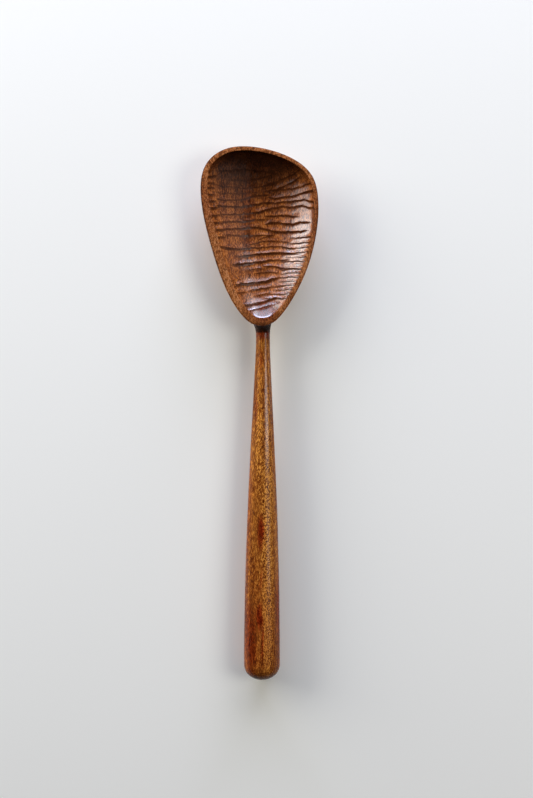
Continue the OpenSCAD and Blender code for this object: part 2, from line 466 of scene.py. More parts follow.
    def height(self, x: np.ndarray, y: np.ndarray) -> np.ndarray:
        """The height of the marked wood over the smooth hollow.

        Args:
            x: Places across the bowl.
            y: Places along the bowl.

        Returns:
            Heights in millimetres.
        """
        nicks = [self.right_nick.moved(place) for place in self.nick_places]
        dimples = [self.left_dimple.moved(place) for place in self.dimple_places]
        shaken = y + self.shaking.at(x, y) + self.tearing.at(x, y)
        found = sum(ridge.at(x, shaken) for ridge in self.long_ridges)
        found = found * (1.0 - self.faint * eased(*self.faint_across, x) * eased(*self.faint_along, y))
        found = found + sum(ridge.at(x, shaken) for ridge in nicks + dimples)
        found = found * (1.0 + self.pressing.at(x, y))
        return self.ground + found + self.swelling.at(x, y)


def respaced(path: np.ndarray, start: np.ndarray, stop: np.ndarray, count: int) -> np.ndarray:
    """Points spread evenly along each column of a path.

    Args:
        path: Dense points, steps by columns by x, y, z.
        start: How far along each column the first point lies.
        stop: How far before each column's end the last point lies.
        count: How many points each column gets.

    Returns:
        Points, count by columns by x, y, z.
    """
    gaps = np.linalg.norm(np.diff(path, axis=0), axis=2)
    run = np.concatenate([np.zeros((1, path.shape[1])), np.cumsum(gaps, axis=0)])
    result = np.empty((count, path.shape[1], 3))
    for i in range(path.shape[1]):
        wanted = np.linspace(start[i], run[-1, i] - stop[i], count)
        for axis in range(3):
            result[:, i, axis] = np.interp(wanted, run[:, i], path[:, i, axis])
    return result


def bent(first: np.ndarray, corner: np.ndarray, last: np.ndarray, steps: int) -> list[np.ndarray]:
    """Rings that round a corner between two rings, without those two rings.

    Args:
        first: The ring where the rounding starts.
        corner: The sharp corner's ring.
        last: The ring where the rounding ends.
        steps: How many rings to make.

    Returns:
        The rings between first and last.
    """
    rings = []
    for k in range(1, steps + 1):
        t = k / (steps + 1)
        rings.append((1 - t) ** 2 * first + 2 * t * (1 - t) * corner + t * t * last)
    return rings


def grid_normals(grid: np.ndarray) -> np.ndarray:
    """Unit normals of a grid of rings, pointing away from the wood.

    Args:
        grid: Points, rings by columns by x, y, z, closed round the columns.

    Returns:
        One normal for each point.
    """
    along = np.gradient(grid, axis=0)
    round_ = np.roll(grid, -1, 1) - np.roll(grid, 1, 1)
    normal = np.cross(round_, along)
    return normal / np.maximum(np.linalg.norm(normal, axis=2, keepdims=True), TINY)


@dataclass
class RingMesh:
    """A closed mesh made of rings of points.

    A point shuts the first ring. Another point shuts the last one, or it is folded flat.
    """

    name: str
    home: np.ndarray
    rings: list[np.ndarray] = field(default_factory=list)
    zones: list[int] = field(default_factory=list)
    marks: dict[str, list[np.ndarray]] = field(default_factory=dict)

    def add(self, ring: np.ndarray, zone: Zone = Zone.OUTSIDE, **marks: np.ndarray | float) -> None:
        """Adds one ring.

        Args:
            ring: Its points.
            zone: The finish of the faces between this ring and the one before.
            marks: Named values for its points.
        """
        self.rings.append(ring)
        self.zones.append(zone.value)
        for name, value in marks.items():
            self.marks.setdefault(name, []).append(np.broadcast_to(value, ring.shape[0]))

    def build(
        self, first: np.ndarray, last: np.ndarray | None, inward: bool
    ) -> bpy.types.Object:
        """Makes the object.

        Args:
            first: The point that shuts the first ring.
            last: The point that shuts the last ring, or None where each point of that ring lies
                on the one with the same number counted backwards.
            inward: True where the rings run away from the bowl, which turns the faces over.

        Returns:
            The object, linked to the scene.
        """
        count = self.rings[0].shape[0]
        here = np.arange(count)
        ids = 1 + np.arange(len(self.rings))[:, None] * count + here
        kept = count
        if last is None:
            ids[-1] = ids[-1][np.minimum(here, count - here)]
            kept = count // 2 + 1
        end = [] if last is None else [last[None]]
        points = np.concatenate([first[None], *self.rings[:-1], self.rings[-1][:kept], *end])
        ahead = np.roll(ids, -1, axis=1)
        quads = np.stack([ids[:-1], ahead[:-1], ahead[1:], ids[1:]], axis=-1).reshape(-1, 4)
        fans = [np.stack([np.zeros(count, int), ahead[0], ids[0]], axis=-1)]
        if last is not None:
            fans.append(np.stack([ids[-1], ahead[-1], np.full(count, len(points) - 1)], axis=-1))
        fans = np.concatenate(fans)
        if inward:
            quads, fans = quads[:, ::-1], fans[:, ::-1]
        mesh = bpy.data.meshes.new(self.name)
        mesh.from_pydata(((points + self.home) * MM).tolist(), [], [*quads.tolist(), *fans.tolist()])
        zones = np.repeat([*self.zones[1:], self.zones[0], self.zones[-1]], count)
        mesh.polygons.foreach_set("material_index", zones[: len(quads) + len(fans)].astype(np.int32))
        mesh.shade_smooth()
        for name, values in self.marks.items():
            column = mesh.attributes.new(name, "FLOAT", "POINT")
            flat = np.concatenate([[values[0][0]], *values[:-1], values[-1][:kept], [values[-1][0]]])
            column.data.foreach_set("value", flat[: len(points)].astype(np.float32))
        mesh.validate()
        mesh.update()
        piece = bpy.data.objects.new(self.name, mesh)
        bpy.context.scene.collection.objects.link(piece)
        return piece


@dataclass(frozen=True)
class Grain:
    """Noise drawn out along the three directions, and the part of its range that counts."""

    size: Point
    detail: float = 2.0
    roughness: float = 0.5
    span: Pair = (0.35, 0.65)
    distortion: float = 0.0


class Wiring:
    """Adds nodes to one node tree and joins them."""

    colour_mix: tuple[int, ...] = (0, 6, 7)
    value_mix: tuple[int, ...] = (0, 2, 3)

    def __init__(self, tree: bpy.types.NodeTree) -> None:
        """Keeps the tree."""
        self.tree = tree

    def put(self, kind: str, settings: dict | None = None, **inputs: object) -> bpy.types.Node:
        """Adds a node.

        Args:
            kind: The node's type name, without its ShaderNode prefix.
            settings: Values of the node's own properties.
            inputs: Values or sockets for its inputs, by name with spaces as underscores.

        Returns:
            The node.
        """
        node = self.tree.nodes.new(kind if kind.startswith("Node") else "ShaderNode" + kind)
        for name, value in (settings or {}).items():
            setattr(node, name, value)
        for name, value in inputs.items():
            self.feed(node.inputs[name.replace("_", " ")], value)
        return node

    def feed(self, socket: Socket, value: object) -> None:
        """Sets a socket, or joins it to another one.

        Args:
            socket: The socket.
            value: Its new value, or the socket that feeds it.
        """
        if isinstance(value, Socket):
            self.tree.links.new(value, socket)
        else:
            socket.default_value = value

    def filled(self, kind: str, settings: dict, *values: object) -> bpy.types.Node:
        """Adds a node and fills its inputs in order.

        Args:
            kind: The node's type name, without its ShaderNode prefix.
            settings: Values of the node's own properties.
            values: Values or sockets for its first inputs.

        Returns:
            The node.
        """
        node = self.put(kind, settings)
        for socket, value in zip(node.inputs, values):
            self.feed(socket, value)
        return node

    def sum(self, operation: str, *values: object, clamp: bool = False) -> Socket:
        """The result of a Math node, kept from 0 to 1 where clamp is set."""
        return self.filled("Math", {"operation": operation, "use_clamp": clamp}, *values).outputs[0]

    def vector(self, operation: str, *values: object) -> Socket:
        """The result of a Vector Math node."""
        return self.filled("VectorMath", {"operation": operation}, *values).outputs[0]

    def length(self, value: object) -> Socket:
        """The length of a vector."""
        return self.filled("VectorMath", {"operation": "LENGTH"}, value).outputs["Value"]

    def span(self, value: object, low: float, high: float, to: Pair = (0.0, 1.0)) -> Socket:
        """A value carried smoothly from one span to another.

        Args:
            value: The value's socket.
            low: The value that gives the first end of the new span.
            high: The value that gives its other end.
            to: The new span.

        Returns:
            The result's socket.
        """
        settings = {"interpolation_type": "SMOOTHSTEP"}
        return self.filled("MapRange", settings, value, low, high, *to).outputs[0]

    def swayed(self, value: object, mask: object, share: object, clamp: bool = False) -> Socket:
        """A value pushed up and down by a mask.

        Args:
            value: The value.
            mask: The mask, which changes nothing where it is a half.
            share: How far the mask pushes from its lowest to its highest.
            clamp: Whether the result stays from 0 to 1.

        Returns:
            The result's socket.
        """
        return self.sum("MULTIPLY_ADD", self.sum("SUBTRACT", mask, 0.5), share, value, clamp=clamp)

    def mix(self, share: object, first: object, second: object, how: str = "MIX") -> Socket:
        """The result of mixing two colours.

        Args:
            share: How much of the second colour shows.
            first: The first colour.
            second: The second colour.
            how: The way they mix.

        Returns:
            The mixed colour's socket.
        """
        node = self.put("Mix", {"data_type": "RGBA", "blend_type": how})
        for index, value in zip(self.colour_mix, (share, first, second)):
            self.feed(node.inputs[index], (*value, 1.0) if isinstance(value, tuple) else value)
        return node.outputs[2]

    def between(self, share: object, first: object, second: object) -> Socket:
        """A value between two values.

        Args:
            share: How much of the second value counts.
            first: The first value.
            second: The second value.

        Returns:
            The result's socket.
        """
        node = self.put("Mix", {"data_type": "FLOAT"})
        for index, value in zip(self.value_mix, (share, first, second)):
            self.feed(node.inputs[index], value)
        return node.outputs[0]

    def ramp(self, value: object, stops: tuple[tuple[float, Colour], ...]) -> Socket:
        """A colour looked up along a row of stops.

        Args:
            value: The place along the row, from 0 to 1.
            stops: Places and their colours.

        Returns:
            The colour's socket.
        """
        node = self.put("ValToRGB", Fac=value)
        keys = node.color_ramp.elements
        while len(keys) < len(stops):
            keys.new(0.5)
        for key, (place, colour) in zip(keys, stops):
            key.position = place
            key.color = (*colour, 1.0)
        return node.outputs[0]

    def grain(self, place: object, kind: Grain) -> Socket:
        """Noise drawn out along the three directions.

        Args:
            place: The place in millimetres.
            kind: The noise's size and its finer layers.

        Returns:
            The noise's socket, about 0.3 to 0.7.
        """
        drawn = self.vector("MULTIPLY", place, tuple(1.0 / each for each in kind.size))
        settings = {"Detail": kind.detail, "Roughness": kind.roughness, "Distortion": kind.distortion}
        return self.put("TexNoise", Vector=drawn, Scale=1.0, **settings).outputs[0]

    def mask(self, place: object, kind: Grain, to: Pair = (0.0, 1.0)) -> Socket:
        """The part of a grain's range that counts, carried to another span."""
        return self.span(self.grain(place, kind), *kind.span, to)

    def stirred(self, place: object, pace: Point, reach: Point, detail: float, rough: float) -> Socket:
        """A place that is pushed about by noise.

        Args:
            place: The place in millimetres.
            pace: How fast the noise changes along each direction.
            reach: How far it pushes along each direction.
            detail: How many finer layers it has.
            rough: How strong the finer layers are.

        Returns:
            The pushed place's socket.
        """
        slow = self.vector("MULTIPLY", place, pace)
        noise = self.put("TexNoise", Vector=slow, Scale=1.0, Detail=detail, Roughness=rough)
        push = self.vector("SUBTRACT", noise.outputs[1], (0.5, 0.5, 0.5))
        return self.vector("ADD", place, self.vector("MULTIPLY", push, reach))


class MaskGroup(Wiring):
    """A shader node group that puts out masks."""

    def __init__(self, name: str, inputs: dict[str, str], masks: tuple[str, ...]) -> None:
        """Makes the group with its sockets.

        Args:
            name: Its name.
            inputs: Names and kinds of its inputs.
            masks: Names of the masks that it puts out.
        """
        super().__init__(bpy.data.node_groups.new(name, "ShaderNodeTree"))
        for label, kind in inputs.items():
            self.tree.interface.new_socket(label, in_out="INPUT", socket_type="NodeSocket" + kind)
        for label in masks:
            self.tree.interface.new_socket(label, in_out="OUTPUT", socket_type="NodeSocketFloat")
        self.given = self.put("NodeGroupInput").outputs
        self.result = self.put("NodeGroupOutput").inputs


@dataclass(frozen=True)
class Streak:
    """A long patch inside the billet, of darker or paler wood or of painted shade, in millimetres in the
    frame.
    """

    middle: Point
    half: Point
    strength: float


@dataclass(frozen=True)
class Billet:
    """What is uneven in the billet.

    Dark red streaks, golden bands, patches gone dry, painted shade over the wall under the tip,
    and places rubbed to a shine. Two red streaks are painted shade too, and some golden bands
    are partly painted light. A patch has its whole strength within the core's share of its half
    sizes, and fades outside it.
    """

    red: tuple[Streak, ...] = (
        Streak((1.4, -66.0, 18.0), (2.9, 14.0, 8.0), 1.0),
        Streak((0.7, -113.5, 18.0), (3.4, 13.0, 8.0), 1.0),
        Streak((0.0, -124.0, 8.0), (17.0, 66.0, 20.0), 0.5),
        Streak((1.6, -93.0, 18.0), (1.5, 10.0, 6.0), 0.6),
        Streak((-4.0, -126.0, 15.0), (6.5, 34.0, 12.0), 0.85),
        Streak((2.6, -126.0, 19.0), (1.3, 20.0, 5.0), 0.9),
        Streak((32.0, 100.0, 18.0), (5.0, 40.0, 6.0), 0.4),
        Streak((11.2, -112.0, 8.0), (4.0, 46.0, 14.0), 0.9),
        Streak((-7.0, -56.0, 10.0), (5.6, 62.0, 16.0), 0.45),
        Streak((-31.0, 112.0, 18.0), (7.0, 26.0, 5.0), 0.35),
        Streak((1.0, 31.0, 17.0), (1.8, 12.0, 5.0), 0.6),
        Streak((-1.6, 5.0, 16.0), (1.5, 12.0, 5.0), 0.5),
        Streak((-6.0, -20.0, 3.0), (3.0, 40.0, 4.0), 0.5),
        Streak((3.0, -80.0, 1.0), (3.5, 34.0, 4.0), 0.6),
        # Painted shade: this streak darkens the wall under the tip, which the rim shades.
        Streak((3.0, 146.0, 8.0), (38.0, 12.0, 12.0), 0.5),
        Streak((-6.5, 112.0, 6.0), (5.0, 34.0, 10.0), 0.45),
        Streak((2.5, 58.0, 14.0), (11.0, 11.0, 9.0), 0.9),
        # Painted shadow: this streak darkens the neck's top just under the rim's heel.
        Streak((2.14, 46.0, 15.0), (7.0, 5.5, 8.0), 1.0),
    )
    gold: tuple[Streak, ...] = (
        Streak((0.5, -14.0, 18.0), (3.2, 40.0, 8.0), 0.4),
        # Partly golden wood, partly a painted highlight: this band runs along the handle's top right, where
        # the right lamp's sheen falls, and its flecks show stronger.
        Streak((4.6, -66.0, 16.0), (3.8, 86.0, 8.0), 0.9),
        Streak((-2.0, -90.0, 2.0), (4.0, 40.0, 5.0), 0.6),
        # Partly golden wood, partly a painted highlight along the handle's top right near its end.
        Streak((5.2, -112.0, 17.0), (4.2, 52.0, 8.0), 1.0),
        Streak((-14.0, 70.0, 17.0), (9.0, 28.0, 6.0), 0.9),
        # Partly paler wood, partly painted light: this band and the next brighten the hollow's right and
        # left walls, which face the side lamps.
        Streak((25.0, 98.0, 14.0), (10.0, 48.0, 12.0), 0.9),
        Streak((-27.0, 92.0, 14.0), (12.0, 46.0, 10.0), 0.7),
        Streak((10.0, 100.0, 8.0), (13.0, 34.0, 10.0), 0.8),
    )
    dry: tuple[Streak, ...] = (
        Streak((-17.0, 98.0, 9.0), (11.0, 46.0, 12.0), 1.0),
        Streak((-17.0, 130.0, 10.0), (17.0, 26.0, 14.0), 1.0),
    )
    # Painted shade: darkens the wall under the tip, which the rim shades from the lamps beyond the tip.
    tip_shade: tuple[Streak, ...] = (Streak((-1.0, 151.0, 12.0), (44.0, 36.0, 40.0), 1.0),)
    polished: tuple[Streak, ...] = (
        Streak((25.0, 76.0, 13.0), (17.0, 54.0, 20.0), 1.0),
        Streak((3.0, 56.0, 14.0), (18.0, 19.0, 16.0), 0.85),
        Streak((-4.0, 74.0, 10.0), (16.0, 34.0, 12.0), 0.3),
        Streak((4.4, 8.0, 18.0), (4.2, 48.0, 12.0), 1.0),
        Streak((6.2, -100.0, 17.0), (4.6, 66.0, 12.0), 0.25),
    )
    core: float = 0.35
    stir_pace: Point = (0.45, 0.12, 0.45)
    stir_reach: Point = (3.2, 7.0, 3.2)
    stir_detail: float = 3.0
    stir_rough: float = 0.6

    def build(self) -> bpy.types.NodeTree:
        """Makes the group.

        Returns:
            A group from a place in millimetres to one mask for each kind of patch.
        """
        kinds = {
            "Red": self.red,
            "Gold": self.gold,
            "Dry": self.dry,
            "TipShade": self.tip_shade,
            "Polish": self.polished,
        }
        w = MaskGroup("wood_streaks", {"Place": "Vector"}, tuple(kinds))
        place = w.given["Place"]
        place = w.stirred(place, self.stir_pace, self.stir_reach, self.stir_detail, self.stir_rough)
        for name, streaks in kinds.items():
            found = 0.0
            for streak in streaks:
                away = w.vector("DIVIDE", w.vector("SUBTRACT", place, streak.middle), streak.half)
                patch = w.span(w.length(away), 1.0, self.core, (0.0, streak.strength))
                found = w.sum("MAXIMUM", found, patch)
            w.feed(w.result[name], found)
        return w.tree


@dataclass(frozen=True)
class Figure:
    """The wood's own figure, which runs through the whole billet along y."""

    sway_pace: Point = (0.03, 0.013, 0.03)
    sway_reach: Point = (7.0, 0.0, 7.0)
    ribbon: Grain = Grain((4.2, 75.0, 4.2), 2.0, 0.55, (0.34, 0.66))
    fleck: Grain = Grain((0.62, 1.9, 0.62), 1.0, 0.6)
    fleck_leans: Pair = (0.5, -0.5)
    fleck_span: Pair = (0.41, 0.59)
    fleck_side: Grain = Grain((2.6, 26.0, 2.6), 1.0, 0.5, (0.44, 0.56))
    cell: Grain = Grain((0.6, 2.0, 0.6), 0.0)
    cell_crowd: Grain = Grain((2.0, 30.0, 2.0), 1.0)
    cell_wall: Pair = (0.66, 0.56)
    pore_edge: float = 0.06
    fibre: Grain = Grain((0.5, 3.6, 0.5), 1.0, 0.6, (0.38, 0.62))
    vein: Grain = Grain((3.4, 48.0, 6.0), 3.0, 0.6, (0.6, 0.74), 0.4)

    def build(self) -> bpy.types.NodeTree:
        """Makes the group.

        Returns:
            A group from a place in millimetres to the ribbon, flecks, pores, fibres and veins.
        """
        w = MaskGroup("wood_figure", {"Place": "Vector"}, ("Ribbon", "Fleck", "Pore", "Fibre", "Vein"))
        place = w.stirred(w.given["Place"], self.sway_pace, self.sway_reach, 1.0, 0.5)
        left, right = (w.grain(self.leaned(w, place, lean), self.fleck) for lean in self.fleck_leans)
        flecks = w.between(w.mask(place, self.fleck_side), left, right)
        pore = w.sum("SUBTRACT", w.grain(place, self.cell), w.mask(place, self.cell_crowd, self.cell_wall))
        w.feed(w.result["Ribbon"], w.mask(place, self.ribbon))
        w.feed(w.result["Fleck"], w.span(flecks, *self.fleck_span))
        w.feed(w.result["Pore"], w.span(pore, 0.0, self.pore_edge))
        w.feed(w.result["Fibre"], w.mask(place, self.fibre))
        w.feed(w.result["Vein"], w.mask(place, self.vein))
        return w.tree

    @staticmethod
    def leaned(w: Wiring, place: object, lean: float) -> Socket:
        """The place leaned over, so that what is drawn out along it runs askew.

        Args:
            w: The group's wiring.
            place: The place in millimetres.
            lean: How far it moves sideways and up for each step along y.

        Returns:
            The leaned place's socket.
        """
        x, y, z = w.put("SeparateXYZ", Vector=place).outputs
        shift = w.sum("MULTIPLY", y, lean)
        return w.put("CombineXYZ", X=w.sum("ADD", x, shift), Y=y, Z=w.sum("ADD", z, shift)).outputs[0]


@dataclass(frozen=True)
class Skin:
    """What oil, hands and time do to a wood surface."""

    rubbed: Grain = Grain((9.0, 16.0, 9.0), 3.0, 0.6, (0.4, 0.62))
    smear: Grain = Grain((3.0, 5.0, 3.0), 4.0, 0.65, (0.38, 0.64))
    end_span: Pair = (0.3, 0.8)

    def build(self) -> bpy.types.NodeTree:
        """Makes the group.

        Returns:
            A group from a place in millimetres and the surface's own normal to the rubbed
            patches, the smears of oil and the end grain.
        """
        inputs = {"Place": "Vector", "Face": "Vector"}
        w = MaskGroup("wood_skin", inputs, ("Rubbed", "Smear", "End Grain"))
        w.feed(w.result["Rubbed"], w.mask(w.given["Place"], self.rubbed))
        w.feed(w.result["Smear"], w.mask(w.given["Place"], self.smear))
        lengthwise = w.sum("ABSOLUTE", w.put("SeparateXYZ", Vector=w.given["Face"]).outputs[1])
        w.feed(w.result["End Grain"], w.span(lengthwise, *self.end_span))
        return w.tree


@dataclass(frozen=True)
class PaintedShade:
    """Painted shade on the side of each cut that faces the neck, away from the lamps beyond the tip, on the
    rim's outer edge and on the neck's top under the rim's heel, and a darker line along the right rim's
    inner edge.
    """

    ragged: Pair = (1.6, 0.3)
    edge: Pair = (0.08, 0.8)

    def build(self) -> bpy.types.NodeTree:
        """Makes the group.

        Returns:
            A group from the fibres, along which the painted shade's edge is ragged, to the painted shade.
        """
        w = MaskGroup("painted_shade_marks", {"Fibre": "Float"}, ("PaintedShade",))
        mark = w.put("Attribute", {"attribute_name": "shadow_side"}).outputs["Fac"]
        ragged = w.sum("MULTIPLY_ADD", w.given["Fibre"], *self.ragged)
        w.feed(w.result["PaintedShade"], w.span(w.sum("MULTIPLY", mark, ragged), *self.edge))
        return w.tree


class WoodGroups:
    """The node groups that every wood finish shares, each built once."""

    def __init__(self) -> None:
        """Builds them."""
        self.figure = Figure().build()
        self.skin = Skin().build()
        self.painted_shade = PaintedShade().build()
        self.streaks = Billet().build()


@dataclass(frozen=True)
class WoodFinish:
    """One finish of the same oiled hardwood.

    A share says how much of a mask shows, and a depth in millimetres how far it stands up.
    """

    name: str
    dark: Colour
    middle: Colour
    light: Colour
    pale: Colour
    stops: tuple[float, ...] = (0.0, 0.38, 0.68, 1.0)
    pore: Colour = (0.06, 0.015, 0.003)
    vein: Colour = (0.1, 0.022, 0.006)
    end_grain: Colour = (0.3, 0.22, 0.17)
    red: Colour = (0.45, 0.17, 0.2)
    # Tint multiplied over the wall under the tip as painted shade.
    tip_shade_tint: Colour = (0.3, 0.28, 0.4)
    # Colour of the painted shade on the cuts' neck-facing sides, the rim's outer edge and the neck under
    # the heel.
    painted_shade: Colour = (0.03, 0.009, 0.003)
    tone: float = 0.5
    ribbon_share: float = 0.3
    fleck_share: float = 0.5
    fibre_share: float = 0.2
    gold_share: float = 0.13
    gold_fleck: float = 0.0
    red_share: float = 0.9
    red_tone: float = -0.1
    rubbed_share: float = 0.05
    pore_share: float = 0.6
    vein_share: float = 0.3
    # How much painted shade darkens the wall under the tip.
    tip_shade_share: float = 0.0
    end_share: float = 0.8
    # How much painted shade darkens the cuts, the rim's edges and the neck.
    painted_shade_share: float = 0.0
    roughness: Pair = (0.36, 0.52)
    pore_roughness: float = 0.05
    dry_roughness: float = 0.32
    # Roughness added under the painted shade.
    painted_shade_roughness: float = 0.3
    gloss: float = 0.5
    polish_share: float = 0.0
    polish_roughness: float = 0.2
    polish_ior: float = 1.5
    fibre_depth: float = 0.022
    pore_depth: float = 0.02
    dry_lift: float = 1.5

    def build(self, groups: WoodGroups) -> bpy.types.Material:
        """Makes the material.

        Args:
            groups: The shared node groups.

        Returns:
            The material.
        """
        material = bpy.data.materials.new(self.name)
        material.use_nodes = True
        material.node_tree.nodes.clear()
        w = Wiring(material.node_tree)
        where = w.put("TexCoord").outputs
        scaled = w.put("VectorMath", {"operation": "SCALE"}, Vector=where["Object"], Scale=1.0 / MM)
        place = scaled.outputs[0]
        masks = {}
        for group, inputs in (
            (groups.figure, {"Place": place}),
            (groups.skin, {"Place": place, "Face": where["Normal"]}),
            (groups.streaks, {"Place": place}),
        ):
            masks.update(w.put("Group", {"node_tree": group}, **inputs).outputs.items())
        # Painted shade, read from the shadow_side attribute and ragged along the fibres: it darkens the
        # colour and keeps the coat off.
        shaded = w.put("Group", {"node_tree": groups.painted_shade}, Fibre=masks["Fibre"])
        masks["PaintedShade"] = shaded.outputs["PaintedShade"]
        bump = w.put("Bump", Height=self.relief(w, masks), Distance=MM, Strength=1.0)
        unshaded = w.sum("MULTIPLY_ADD", masks["PaintedShade"], -self.polish_share, self.polish_share)
        shader = w.put(
            "BsdfPrincipled",
            Base_Color=self.paint(w, masks),
            Roughness=self.smear(w, masks),
            Normal=bump.outputs[0],
            Specular_IOR_Level=self.gloss,
            Coat_Weight=w.sum("MULTIPLY", masks["Polish"], unshaded),
            Coat_Roughness=self.polish_roughness,
            Coat_IOR=self.polish_ior,
        )
        w.put("OutputMaterial", Surface=shader.outputs[0]).is_active_output = True
        return material

    def paint(self, w: Wiring, masks: dict[str, Socket]) -> Socket:
        """The wood's colour.

        Args:
            w: The material's wiring.
            masks: The shared groups' masks by name.

        Returns:
            The colour's socket.
        """
        tone = w.sum("MULTIPLY_ADD", masks["Gold"], self.gold_share, self.tone)
        tone = w.sum("MULTIPLY_ADD", masks["Red"], self.red_tone, tone)
        tone = w.swayed(tone, masks["Ribbon"], self.ribbon_share)
        fleck_share = w.sum("MULTIPLY_ADD", masks["Gold"], self.gold_fleck, self.fleck_share)
        tone = w.swayed(tone, masks["Fleck"], fleck_share)
        tone = w.swayed(tone, masks["Fibre"], self.fibre_share, clamp=True)
        colour = w.ramp(tone, tuple(zip(self.stops, (self.dark, self.middle, self.light, self.pale))))
        # Of the masks mixed in below, the tip's shade and the painted shade paint shade into the colour.
        for name, share, other, stained in (
            ("Red", self.red_share, self.red, True),
            ("Vein", self.vein_share, self.vein, False),
            ("Pore", self.pore_share, self.pore, False),
            ("TipShade", self.tip_shade_share, self.tip_shade_tint, True),
            ("End Grain", self.end_share, self.end_grain, True),
            ("Rubbed", self.rubbed_share, self.pale, False),
            ("PaintedShade", self.painted_shade_share, self.painted_shade, False),
        ):
            over = w.mix(1.0, colour, other, "MULTIPLY") if stained else other
            colour = w.mix(w.sum("MULTIPLY", masks[name], share), colour, over)
        return colour

    def smear(self, w: Wiring, masks: dict[str, Socket]) -> Socket:
        """The surface's roughness.

        Args:
            w: The material's wiring.
            masks: The shared groups' masks by name.

        Returns:
            The roughness's socket.
        """
        rough = w.span(masks["Smear"], 0.0, 1.0, self.roughness)
        rough = w.sum("MULTIPLY_ADD", masks["Pore"], self.pore_roughness, rough)
        rough = w.sum("MULTIPLY_ADD", masks["Dry"], self.dry_roughness, rough)
        return w.sum("MULTIPLY_ADD", masks["PaintedShade"], self.painted_shade_roughness, rough, clamp=True)

    def relief(self, w: Wiring, masks: dict[str, Socket]) -> Socket:
        """The height of fibres, flecks and pores in millimetres, more where the wood is dry.

        Args:
            w: The material's wiring.
            masks: The shared groups' masks by name.

        Returns:
            The height's socket.
        """
        height = w.sum("MULTIPLY", masks["Fibre"], self.fibre_depth)
        height = w.sum("MULTIPLY_ADD", masks["Pore"], -self.pore_depth, height)
        height = w.sum("MULTIPLY_ADD", masks["Fleck"], self.fibre_depth, height)
        return w.sum("MULTIPLY", height, w.sum("MULTIPLY_ADD", masks["Dry"], self.dry_lift, 1.0))


@dataclass
class Woods:
    """The spoon's finishes."""

    outside: WoodFinish = WoodFinish(
        name="oiled_outside_wood",
        dark=(0.075, 0.013, 0.002),
        middle=(0.2, 0.048, 0.006),
        light=(0.37, 0.118, 0.015),
        pale=(0.72, 0.29, 0.045),
        roughness=(0.2, 0.27),
        gloss=0.1,
        red=(0.62, 0.12, 0.13),
        # Painted shadow on the neck's top under the rim's heel; the handle has none.
        painted_shade_share=0.95,
        painted_shade=(0.012, 0.005, 0.002),
        fleck_share=0.36,
        gold_fleck=0.75,
        fibre_share=0.42,
        pore_share=0.35,
        gold_share=0.3,
        fibre_depth=0.014,
        polish_share=0.85,
    )
    rim: WoodFinish = WoodFinish(
        name="sawn_rim_wood",
        dark=(0.1, 0.024, 0.005),
        middle=(0.215, 0.061, 0.013),
        light=(0.34, 0.106, 0.026),
        pale=(0.5, 0.2, 0.07),
        roughness=(0.5, 0.66),
        ribbon_share=0.2,
        fleck_share=0.6,
        pore_share=0.7,
        end_share=0.0,
        # Painted shade on the rim's outer edge, and a darker line along the right rim's inner edge.
        painted_shade_share=0.7,
        gold_share=0.32,
        gloss=0.06,
    )
    hollow: WoodFinish = WoodFinish(
        name="gouged_hollow_wood",
        dark=(0.045, 0.01, 0.002),
        middle=(0.17, 0.043, 0.009),
        light=(0.33, 0.09, 0.017),
        pale=(0.5, 0.168, 0.036),
        roughness=(0.16, 0.23),
        ribbon_share=0.28,
        fleck_share=0.3,
        fibre_share=0.5,
        pore_share=0.6,
        vein_share=0.15,
        # Painted shade over the wall under the tip.
        tip_shade_share=1.0,
        end_share=0.9,
        # Painted shade on the side of each cut that faces the neck.
        painted_shade_share=0.82,
        painted_shade=(0.05, 0.0125, 0.0035),
        gloss=0.27,
        fibre_depth=0.022,
        painted_shade_roughness=0.0,
        polish_share=1.0,
        polish_roughness=0.17,
        polish_ior=1.75,
    )


